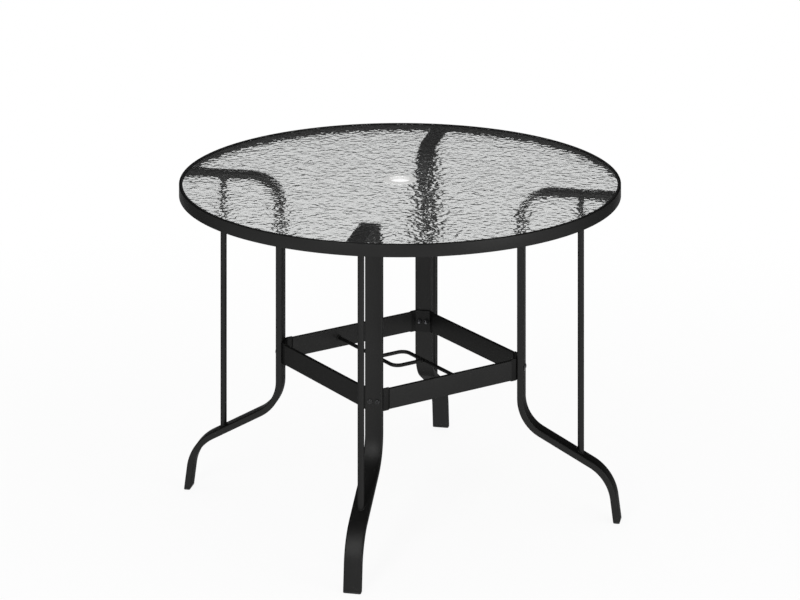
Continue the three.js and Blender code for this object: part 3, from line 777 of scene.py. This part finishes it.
def bracket_path(sizes):
    """Plan of a bracket's middle line as (x, y, angle, tall) from one tongue to the other"""
    bend, wing, tongue = 0.006, 0.0138, 0.022
    meeting = sizes.leg_radius + 0.0077  # where the middle lines of two stretchers would meet
    radius = sizes.leg_radius - sizes.leg_depth / 2 - SEAT_GAP - BRACKET_PLATE / 2
    tangent = bend * tan(pi / 8)
    centre = Vector((radius - bend, meeting - radius - tangent))
    side = [(radius, 0.0, 0.0, True)]
    for step in range(9):
        turn = pi / 4 * step / 8
        side.append((centre.x + bend * cos(turn), centre.y + bend * sin(turn), turn, True))
    x, y, turn, _ = side[-1]

    def further(run, tall):
        return (x - run * sin(turn), y + run * cos(turn), turn, tall)

    side += [further(wing - tangent, True), further(wing - tangent, False)]
    side.append(further(wing - tangent + tongue, False))
    return [(x, -y, -turn, tall) for x, y, turn, tall in side[:0:-1]] + side


def build_brackets(sizes, looks):
    edge, tongue_play = 0.0007, 0.0037
    tall = rounded_rectangle(BRACKET_PLATE, BRACKET_HIGH.z - BRACKET_LOW.z, edge, 3)
    low = rounded_rectangle(BRACKET_PLATE, STRETCHER_HEIGHT - tongue_play, edge, 3)
    rows = [plan_ring(x, y, turn, tall if is_tall else low) for x, y, turn, is_tall in bracket_path(sizes)]
    # The brackets wear the darker copy of the steel coat, painted shade where the legs and stretchers shade
    # them
    add_copies(CORNERS, "bent_bracket", "corner_bracket", looks["bracket"], rows)


# Pole guide


def guide_stations(sizes):
    """Middle line of the back guide rod as (x, y, angle), from the stretcher round the corner"""
    half = guide_half(sizes)
    centre = sizes.rod_bend - half
    stations = [(-half, GUIDE_START, 0.0)]
    for step in range(25):
        turn = pi / 2 * step / 24
        x = centre - sizes.rod_bend * cos(turn)
        stations.append((x, centre - sizes.rod_bend * sin(turn), turn))
    stations.append((half - sizes.rod_diameter / 2 - SEAT_GAP, -half, pi / 2))
    return stations


def build_pole_guide(sizes, looks):
    section = circle(sizes.rod_diameter, 28)
    rows = [plan_ring(x, y, turn, section) for x, y, turn in guide_stations(sizes)]
    add_copies(HALVES, "guide_wire", "guide_rod", looks["steel"], rows)


# Tabs, fasteners and welds


def build_tabs(sizes, looks):
    width, corner, edge = 0.026, 0.003, 0.0003
    plate = rounded_rectangle(TAB_LENGTH, width, corner)
    soft = rounded_rectangle(TAB_LENGTH - 2 * edge, width - 2 * edge, corner - edge)
    levels = [(TAB_LOW.z, soft), (TAB_LOW.z + edge, plate), (TAB_HIGH.z - edge, plate), (TAB_HIGH.z, soft)]
    rows = stacked(levels, inner_flat(sizes) - TAB_LENGTH / 2)
    add_copies(CORNERS, "tab_plate", "rim_tab", looks["steel"], rows)


def button_head(name, diameter, height, socket, shank, reach):
    """Domed screw along +Z with a hex socket, its seat at the origin and its shank below"""
    sides, edge, dome = 24, 0.0003, radians(62)
    rows = [
        (-reach, circle(shank * 0.8, sides)),
        (-reach + 0.0008, circle(shank, sides)),
        (0.0, circle(shank, sides)),
        (0.0, circle(diameter - 0.0004, sides)),
        (edge, circle(diameter, sides)),
    ]
    for step in range(1, 7):
        turn = dome * step / 6
        across = 1 - (1 - cos(turn)) * 0.95
        rows.append((edge + (height - edge) * sin(turn) / sin(dome), circle(diameter * across, sides)))
    rows.append((height, circle(socket * 1.25, sides)))
    rows.append((height - 0.0002, hexagon(socket, sides)))
    rows.append((height * 0.25, hexagon(socket, sides)))
    return skin_mesh(name, stacked(rows))


def cap_nut(name, flats, hex_height, dome_height):
    """Cap nut along +Z with its seat at the origin"""
    sides = 24
    rows = [
        (0.0, circle(flats * 0.96, sides)),
        (0.0003, hexagon(flats, sides)),
        (hex_height - 0.0008, hexagon(flats, sides)),
        (hex_height, circle(flats * 0.97, sides)),
    ]
    for step in range(8):
        turn = pi / 2 * step / 8
        section = circle(flats * 0.92 * cos(turn), sides)
        rows.append((hex_height + dome_height * sin(turn), section))
    return skin_mesh(name, stacked(rows))


def points_mesh(name, places):
    """Loose points that each hold the direction that they face"""
    mesh = bpy.data.meshes.new(name)
    mesh.from_pydata([place for place, _ in places], [], [])
    facing = mesh.attributes.new("facing", "FLOAT_VECTOR", "POINT")
    facing.data.foreach_set("vector", [part for _, way in places for part in way])
    return mesh


def build_fasteners(sizes, looks):
    tree = fastener_tree()
    outside = sizes.leg_radius + sizes.leg_depth / 2 + SEAT_GAP
    behind = sizes.leg_radius - sizes.leg_depth / 2 - 2 * SEAT_GAP - BRACKET_PLATE
    under_tab = (inner_flat(sizes) - TAB_LENGTH / 2, TAB_LOW.z - SEAT_GAP)
    pair, in_nut = (-0.008, 0.008), 0.006
    reach = outside - behind + in_nut
    bolt = button_head("bolt_shape", diameter=0.011, height=0.0021, socket=0.004, shank=0.006, reach=reach)
    nut = cap_nut("nut_shape", flats=0.010, hex_height=0.005, dome_height=0.0046)
    screw = button_head("screw_shape", diameter=0.009, height=0.0024, socket=0.003, shank=0.005, reach=0.0077)
    kinds = [
        ("leg_bolts", bolt, "leg_bolt", (outside, JOINT_HEIGHT), (1, 0, 0), pair, "fastener"),
        ("cap_nuts", nut, "cap_nut", (behind, JOINT_HEIGHT), (-1, 0, 0), pair, "nut"),
        ("tab_screws", screw, "tab_screw", under_tab, (0, 0, -1), (0.0,), "fastener"),
    ]
    for seed, (name, shape, stem, (x, z), way, offsets, look) in enumerate(kinds, 3):
        model = bpy.data.objects.new(name + "_shape", shape)
        places, nodes = [], []
        for corner, turn in CORNERS.items():
            about = Matrix.Rotation(turn, 4, "Z")
            for i, y in enumerate(offsets):
                places.append((about @ Vector((x, y, z)), about @ Vector(way)))
                nodes.append(f"{stem}_{corner}" + (f"_{i + 1}" if len(offsets) > 1 else ""))
        values = {"Fastener": model, "Greatest Spin": pi / 3, "Seed": seed, "Finish": looks[look]}
        mesh = grown(name, points_mesh(name + "_places", places), tree, values)
        bpy.data.objects.remove(model)
        add_piece(name, mesh, "frame", None, nodes)


def paths_mesh(name, paths):
    """Edges along (points, closed) paths"""
    points, edges = [], []
    for path, closed in paths:
        start = len(points)
        points += path
        edges += [(start + i, start + i + 1) for i in range(len(path) - 1)]
        if closed:
            edges.append((start + len(path) - 1, start))
    mesh = bpy.data.meshes.new(name)
    mesh.from_pydata(points, edges, [])
    return mesh


def weld_paths(sizes):
    """Paths of the beads at the struts, the tabs and the pole guide"""
    off, half, radius = 0.0004, guide_half(sizes), sizes.rod_diameter / 2
    ring = [(sizes.strut_radius + p.x, p.y) for p in circle(sizes.strut_diameter + 0.0006, 48)]
    foot = [Vector((x, y, slope_height(sizes, x, off))) for x, y in ring]
    head = [Vector((x, y, strut_top(sizes) - off)) for x, y in ring]
    seam_x, seam_width = inner_flat(sizes) - 0.0002, 0.024
    seam = [Vector((seam_x, seam_width * (i / 12 - 0.5), TAB_LOW.z + off)) for i in range(13)]
    collar = circle(sizes.rod_diameter + 0.0004, 32)
    at_stretcher = [Vector((-half + p.x, GUIDE_START - off, JOINT_HEIGHT + p.y)) for p in collar]
    at_rod = [Vector((half - radius - SEAT_GAP - off, -half + p.x, JOINT_HEIGHT + p.y)) for p in collar]
    turned = []
    for places, paths in (
        (CORNERS, [(foot, True), (head, True), (seam, False)]),
        (HALVES, [(at_stretcher, True), (at_rod, True)]),
    ):
        for turn in places.values():
            about = Matrix.Rotation(turn, 4, "Z")
            turned += [([about @ p for p in path], closed) for path, closed in paths]
    return turned


def build_welds(sizes, looks):
    values = {
        "Width": sizes.weld_width, "Ripple Pitch": 0.0021, "Ripple Depth": 0.10, "Seed": 4.0,
        "Finish": looks["steel"],
    }
    mesh = grown("weld_beads", paths_mesh("weld_paths", weld_paths(sizes)), weld_tree(), values)
    made = shown("weld_beads", mesh)
    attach(made, "frame")


# Glass


def pane_carrier():
    """Flat pane with a fine, even mesh below, and a relief attribute that fades out at its edges"""
    hole, chamfer, pitch, margin = 0.0260, 0.0008, 0.00278, 0.0075
    inner, outer = hole + chamfer / 2, PANE_RADIUS - chamfer
    low, high = PANE_LOW.z, PANE_HIGH.z
    count = round((outer - inner) / pitch)
    rings = []
    for i in range(count + 1):
        radius = inner + (outer - inner) * i / count
        rings.append((radius, low, round(2 * pi * radius / pitch)))
    most, least = rings[-1][2], rings[0][2]
    rings += [(PANE_RADIUS, low + chamfer, most), (PANE_RADIUS, high - chamfer, most), (outer, high, most)]
    rings += [(0.42, high, most // 3), (0.15, high, most // 8)]  # the smooth face needs few points
    rings += [(inner, high, least), (hole, high - chamfer / 2, least), (hole, low + chamfer / 2, least)]
    points, starts, relief = [], [], []
    for number, (radius, height, sides) in enumerate(rings):
        starts.append(len(points))
        fade = min(radius - inner, outer - radius) / margin if number <= count else 0.0
        allowed = max(0.0, min(1.0, fade))
        relief += [allowed * allowed * (3 - 2 * allowed)] * sides
        turns = [2 * pi * i / sides for i in range(sides)]
        points += [(radius * cos(turn), radius * sin(turn), height) for turn in turns]
    faces = []
    for number, (_, _, sides) in enumerate(rings):
        other = (number + 1) % len(rings)
        first, second, more = starts[number], starts[other], rings[other][2]
        i = j = 0
        while i < sides or j < more:
            if j >= more or (i < sides and (i + 1) * more <= (j + 1) * sides):
                faces.append((first + i % sides, second + j % more, first + (i + 1) % sides))
                i += 1
            else:
                faces.append((first + i % sides, second + j % more, second + (j + 1) % more))
                j += 1
    mesh = bpy.data.meshes.new("pane_carrier")
    mesh.from_pydata(points, [], faces)
    mesh.attributes.new("relief", "FLOAT", "POINT").data.foreach_set("value", relief)
    return mesh


def spare_pane(pane):
    """Keeps the softboxes that the steel mirrors out of the pane, where they would be white patches"""
    spared = bpy.data.collections.new("spared_pane")
    spared.objects.link(pane)
    spared.collection_objects[0].light_linking.link_state = "EXCLUDE"
    for made in bpy.data.objects:
        if made.type == "LIGHT" and made.visible_glossy:
            made.light_linking.receiver_collection = spared


def build_pane(sizes, looks):
    values = {
        "Ripple Size": sizes.glass_ripple, "Ripple Height": sizes.glass_relief, "Press": 0.0005,
        "Room": 0.0012, "Seed": float(sizes.glass_seed), "Finish": looks["glass"],
    }
    mesh = grown("rippled_pane", pane_carrier(), ripple_tree(), values)
    work = bmesh.new()
    work.from_mesh(mesh)
    bmesh.ops.recalc_face_normals(work, faces=work.faces)
    work.to_mesh(mesh)
    work.free()
    mesh.shade_smooth()
    mesh.set_sharp_from_angle(angle=radians(30))
    pane = add_piece("rippled_pane", mesh, "glass", None, ["glass_top"])
    pane.visible_shadow = False
    spare_pane(pane)


def build_channel(sizes, looks):
    lip, wall, reach, back_round, tip, inside = 0.0008, 0.0014, 0.0030, 0.0006, 0.00035, 0.0002
    low, high = GASKET_LOW.z, GASKET_HIGH.z
    groove = GASKET_RADIUS - wall
    edge = groove - reach
    corners = [
        (edge, low, tip), (GASKET_RADIUS, low, back_round),
        (GASKET_RADIUS, high, back_round), (edge, high, tip),
        (edge, high - lip, tip), (groove, high - lip, inside),
        (groove, low + lip, inside), (edge, low + lip, tip),
    ]
    mesh = turned_mesh("rubber_channel", filleted(corners, 4), 384)
    add_piece("rubber_channel", mesh, "glass", looks["rubber"], ["glass_gasket"])


def build_ring(sizes, looks):
    sleeve, flange, crown = 0.0253, 0.0370, RING_BORE + 0.005
    edge, tip, mouth, foot = 0.0003, 0.0004, 0.0008, 0.0006
    low, high, seat = RING_LOW.z, RING_HIGH.z, PANE_HIGH.z + SEAT_GAP
    profile = [
        (RING_BORE + edge, low), (sleeve - tip, low), (sleeve, low + foot), (sleeve, seat),
        (flange - tip, seat),
    ]
    for step in range(11):
        turn = pi / 2 * step / 10
        radius = crown + (flange - crown) * cos(turn)
        profile.append((radius, seat + foot + (high - seat - foot) * sin(turn)))
    for step in range(7):
        turn = pi / 2 * step / 6
        profile.append((RING_BORE + mouth * (1 - sin(turn)), high - mouth * (1 - cos(turn))))
    profile.append((RING_BORE, low + edge))
    mesh = turned_mesh("ring_moulding", profile, 160, sharp=40)
    add_piece("ring_moulding", mesh, "ring", looks["ring"], ["umbrella_ring"])


# Stage


def build_floor():
    """Pale floor that keeps the table's shadow and passes into the white background"""
    mesh = bpy.data.meshes.new("pale_floor")
    mesh.from_pydata([(p.x, p.y, 0.0) for p in circle(120.0, 64)], [], [range(64)])
    floor = shown("pale_floor", mesh)
    material = bpy.data.materials.new("pale_floor")
    bench = clear_bench(material)
    reach = bench.node("ShaderNodeVectorMath", {"operation": "LENGTH"}, {0: bench.place()}, output="Value")
    _, _, seen = bench.rays()
    matt = bench.node("ShaderNodeBsdfDiffuse", None, {"Color": grey(0.88)})
    white = bench.node("ShaderNodeEmission", None, {"Color": grey(1.0), "Strength": 1.0})
    mask = seen * bench.span(reach, 0.9, 2.2, 0.9, 1.0)
    surface = bench.node("ShaderNodeMixShader", None, {0: mask, 1: matt, 2: white})
    bench.node("ShaderNodeOutputMaterial", None, {"Surface": surface})
    mesh.materials.append(material)


def build_world():
    """Even soft light; the horizon shows white, and the studio's dark ceiling stands above it"""
    world = bpy.data.worlds.new("studio")
    bpy.context.scene.world = world
    bench = clear_bench(world)
    up = bench.height(bench.node("ShaderNodeTexCoord", output="Generated"))
    camera, through, seen = bench.rays()
    ceiling = bench.mix(through, grey(0.05), grey(0.10))
    backdrop = bench.mix(bench.span(up, 0.0, 0.10) * (1 - camera), grey(1.0), ceiling)
    above = bench.mix(bench.span(up, 0.0, 0.6), grey(0.50), grey(0.62))
    soft = bench.node("ShaderNodeBackground", None, {"Color": above, "Strength": 1.0})
    plain = bench.node("ShaderNodeBackground", None, {"Color": backdrop, "Strength": 1.0})
    surface = bench.node("ShaderNodeMixShader", None, {0: seen, 1: soft, 2: plain})
    bench.node("ShaderNodeOutputWorld", None, {"Surface": surface})


def build_lamps():
    for name, place, (width, height), power, in_gloss in LAMPS:
        lamp = bpy.data.lights.new(name, "AREA")
        lamp.shape = "RECTANGLE"
        lamp.size, lamp.size_y = width, height
        lamp.energy = power
        made = shown(name, lamp)
        made.location = place
        made.visible_glossy, made.visible_transmission = in_gloss, False
        made.rotation_mode = "QUATERNION"
        made.rotation_quaternion = (LAMP_AIM - Vector(place)).to_track_quat("-Z", "Y")


def build_camera():
    """View camera with an upright back, so that uprights stay upright as in the photograph.
    Its parent inverse holds the lean between the line of sight and the picture; other views
    drop the parent and use a plain camera."""
    pitch = atan(HORIZON_PIXELS / FOCAL_PIXELS)
    outward = Vector((cos(CAMERA_ANGLE), sin(CAMERA_ANGLE), 0.0))
    right = Vector((-outward.y, outward.x, 0.0))
    up = Vector((0.0, 0.0, 1.0))
    back = cos(pitch) * outward + sin(pitch) * up
    columns = [(*right, 0.0), (*up, 0.0), (*back, 0.0), (*CAMERA_PLACE, 1.0)]
    data = bpy.data.cameras.new("table_view")
    data.sensor_width = SENSOR_WIDTH
    data.lens = FOCAL_PIXELS / cos(pitch) * SENSOR_WIDTH / PHOTO_WIDTH
    data.clip_start, data.clip_end = 0.05, 200.0
    camera = shown("table_view", data)
    camera.parent = shown("camera_stand", None)
    camera.matrix_parent_inverse = Matrix(columns).transposed()
    bpy.context.scene.camera = camera


# Operators and panel


def finishes():
    """The table's materials by use, each made once from the colours in the panel"""
    colours = bpy.context.scene.table_finishes
    # The brackets get a darker copy of the steel coat: painted shade for the shade that falls between the
    # legs and the stretchers
    bracket, nut = shade(colours.steel, 0.7), shade(colours.fastener, 5.0)
    milky = {"rough": 0.28, "specular": 0.5, "scuffed": 0.0, "worn": 0.8, "clear": 0.20}
    matt = {"rough": 0.5, "specular": 0.3, "scuffed": 0.8, "worn": 4.0, "clear": 0.0}
    makers = {
        "steel": ("powder_coat_black", powder_coat, colours.steel, {}),
        "bracket": ("bracket_black", powder_coat, bracket, {}),
        "fastener": ("blackened_steel", turned_steel, colours.fastener, {"metallic": 0.3}),
        "nut": ("nut_nickel", turned_steel, nut, {"metallic": 0.95}),
        "glass": ("clear_glass", clear_glass, colours.glass, {}),
        "rubber": ("channel_rubber", channel_rubber, colours.rubber, {}),
        "ring": ("ring_white", moulded_plastic, colours.ring, milky),
        "foot": ("foot_black", moulded_plastic, colours.foot, matt),
    }
    made = bpy.data.materials
    return {
        use: made.get(name) or make(name, colour, **more)
        for use, (name, make, colour, more) in makers.items()
    }


def operator(step, label, text, *builders):
    """Operator that runs builders with the panel's sizes and finishes"""

    def execute(self, context):
        for builder in builders:
            builder(context.scene.table_sizes, finishes())
        return {"FINISHED"}

    members = {"__doc__": text, "bl_idname": f"table.{step}", "bl_label": label, "execute": execute}
    return type(f"TABLE_OT_{step}", (bpy.types.Operator,), members)


class TABLE_OT_stage(bpy.types.Operator):
    """Builds the floor, the light and the camera"""

    bl_idname = "table.stage"
    bl_label = "Stage"

    def execute(self, context):
        context.scene.view_settings.view_transform = "Standard"
        build_floor()
        build_world()
        build_lamps()
        build_camera()
        return {"FINISHED"}


OPERATORS = (
    TABLE_OT_stage,
    operator("rim", "Rim", "Builds the steel hoop round the glass", build_rim),
    operator("legs", "Legs", "Builds the four bent legs with their foot caps", build_legs),
    operator("struts", "Struts", "Builds the round struts between the slopes and the arms", build_struts),
    operator(
        "stretchers", "Stretchers and brackets", "Builds the stretchers and the bent brackets that hold them",
        build_stretchers, build_brackets,
    ),
    operator(
        "pole_guide", "Pole guide", "Builds the two bent rods that guide the umbrella pole", build_pole_guide
    ),
    operator(
        "fastenings", "Tabs, fasteners and welds", "Builds the tabs, bolts, nuts, screws and weld beads",
        build_tabs, build_fasteners, build_welds,
    ),
    operator(
        "glass", "Glass", "Builds the rippled pane and the rubber channel on its edge",
        build_pane, build_channel,
    ),
    operator("ring", "Umbrella ring", "Builds the white ring in the middle of the glass", build_ring),
)


class TABLE_PT_panel(bpy.types.Panel):
    """Sizes, colours and building steps of the table"""

    bl_label = "Patio table"
    bl_idname = "TABLE_PT_panel"
    bl_space_type = "VIEW_3D"
    bl_region_type = "UI"
    bl_category = "Patio table"

    def draw(self, context):
        layout = self.layout
        for group in (context.scene.table_sizes, context.scene.table_finishes):
            box = layout.box()
            for name in group.__annotations__:
                box.prop(group, name)
        for step in OPERATORS:
            layout.operator(step.bl_idname)


CLASSES = (TableSizes, TableFinishes, *OPERATORS, TABLE_PT_panel)


def register():
    for item in CLASSES:
        bpy.utils.register_class(item)
    bpy.types.Scene.table_sizes = PointerProperty(type=TableSizes)
    bpy.types.Scene.table_finishes = PointerProperty(type=TableFinishes)


def unregister():
    del bpy.types.Scene.table_finishes
    del bpy.types.Scene.table_sizes
    for item in reversed(CLASSES):
        bpy.utils.unregister_class(item)


def main():
    register()
    bpy.ops.table.stage()
    bpy.ops.table.rim()
    bpy.ops.table.legs()
    bpy.ops.table.struts()
    bpy.ops.table.stretchers()
    bpy.ops.table.pole_guide()
    bpy.ops.table.fastenings()
    bpy.ops.table.glass()
    bpy.ops.table.ring()


if __name__ == "__main__":
    main()
